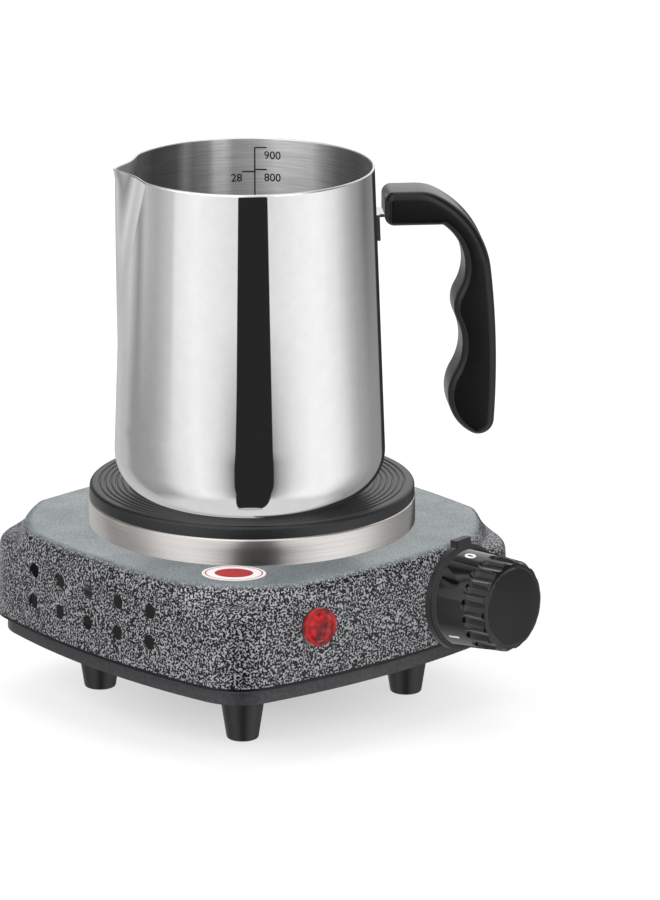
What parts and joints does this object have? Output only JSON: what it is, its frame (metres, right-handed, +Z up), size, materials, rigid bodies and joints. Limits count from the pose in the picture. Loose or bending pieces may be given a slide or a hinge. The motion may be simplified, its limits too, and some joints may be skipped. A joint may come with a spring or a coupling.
{
  "type": "candle wax melter",
  "caption": "Electric hot plate with a round cast plate, thermostat knob and lamp, and a spouted pouring pitcher that lifts off it.",
  "frame": {"origin": "on the floor, under the middle of the hot plate's base and heating plate", "axes": "+Z up, -Y towards the front with the knob and the lamp, -X towards the left side with vents"},
  "size_m": [0.162, 0.1887, 0.2109],
  "materials": {
    "hammertone_enamel": "hammertone",
    "pan_paint": "satin",
    "foot_rubber": "matt",
    "zinc_steel": "zinc plated",
    "ring_steel": "spun satin",
    "plate_iron": "black heat-proof coating",
    "element_steel": "annealed",
    "mica": "layered",
    "ceramic": "glazed ceramic",
    "knob_phenolic": "polished",
    "bezel_plastic": "satin",
    "lens_acrylic": "clear red",
    "lamp_plastic": "satin",
    "bulb_glass": "clear",
    "badge_vinyl": "printed",
    "lead_silicone": "woven sleeve",
    "earth_brass": "turned",
    "pitcher_steel": "mirror outside, brushed inside",
    "bracket_steel": "satin",
    "handle_bakelite": "satin"
  },
  "bodies": {
    "base": {"base_pan": "pan_paint", "centre_stud": "zinc_steel", "clamp_bar": "zinc_steel", "clamp_nut": "zinc_steel", "clamp_washer": "zinc_steel", "cord_gland": "bezel_plastic", "deck_badge": "badge_vinyl", "earth_screw": "earth_brass", "foot_front_left": "foot_rubber", "foot_front_right": "foot_rubber", "foot_nuts": "zinc_steel", "foot_rear_left": "foot_rubber", "foot_rear_right": "foot_rubber", "foot_screws": "zinc_steel", "fuse_clip": "zinc_steel", "gland_nut": "bezel_plastic", "heat_reflector": "ring_steel", "heating_element": "element_steel", "heating_plate": "plate_iron", "housing": "hammertone_enamel", "knob_bezel": "bezel_plastic", "lamp_body": "lamp_plastic", "lamp_bulb": "bulb_glass", "lamp_clip": "zinc_steel", "lamp_lens": "lens_acrylic", "lead_element": "lead_silicone", "lead_fuse": "lead_silicone", "lead_lamp_a": "lead_silicone", "lead_lamp_b": "lead_silicone", "lead_neutral": "lead_silicone", "lead_supply": "lead_silicone", "mica_disc": "mica", "pan_lug_front": "zinc_steel", "pan_lug_left": "zinc_steel", "pan_lug_rear": "zinc_steel", "pan_lug_right": "zinc_steel", "pan_screws": "zinc_steel", "stack_spacer": "ceramic", "terminal_block": "ceramic", "terminal_screws": "earth_brass", "thermal_fuse": "element_steel", "thermostat_body": "ceramic", "thermostat_bush": "earth_brass", "thermostat_nut": "zinc_steel", "trim_ring": "ring_steel"},
    "knob": {"knob": "knob_phenolic", "thermostat_spindle": "zinc_steel"},
    "pitcher": {"pitcher_body": "pitcher_steel", "handle_bracket": "bracket_steel", "handle": "handle_bakelite", "handle_screw": "zinc_steel"}
  },
  "joints": [
    {"name": "knob_turn", "type": "hinge", "parent": "base", "child": "knob", "pos_m": [0.037, -0.07822, 0.0478], "axis": [-0.1099, 0.993, -0.0436], "range_deg": [0, 280]},
    {"name": "pitcher_lift", "type": "slide", "parent": "base", "child": "pitcher", "axis": [0, 0, 1], "range_m": [0, 0.15]}
  ]
}
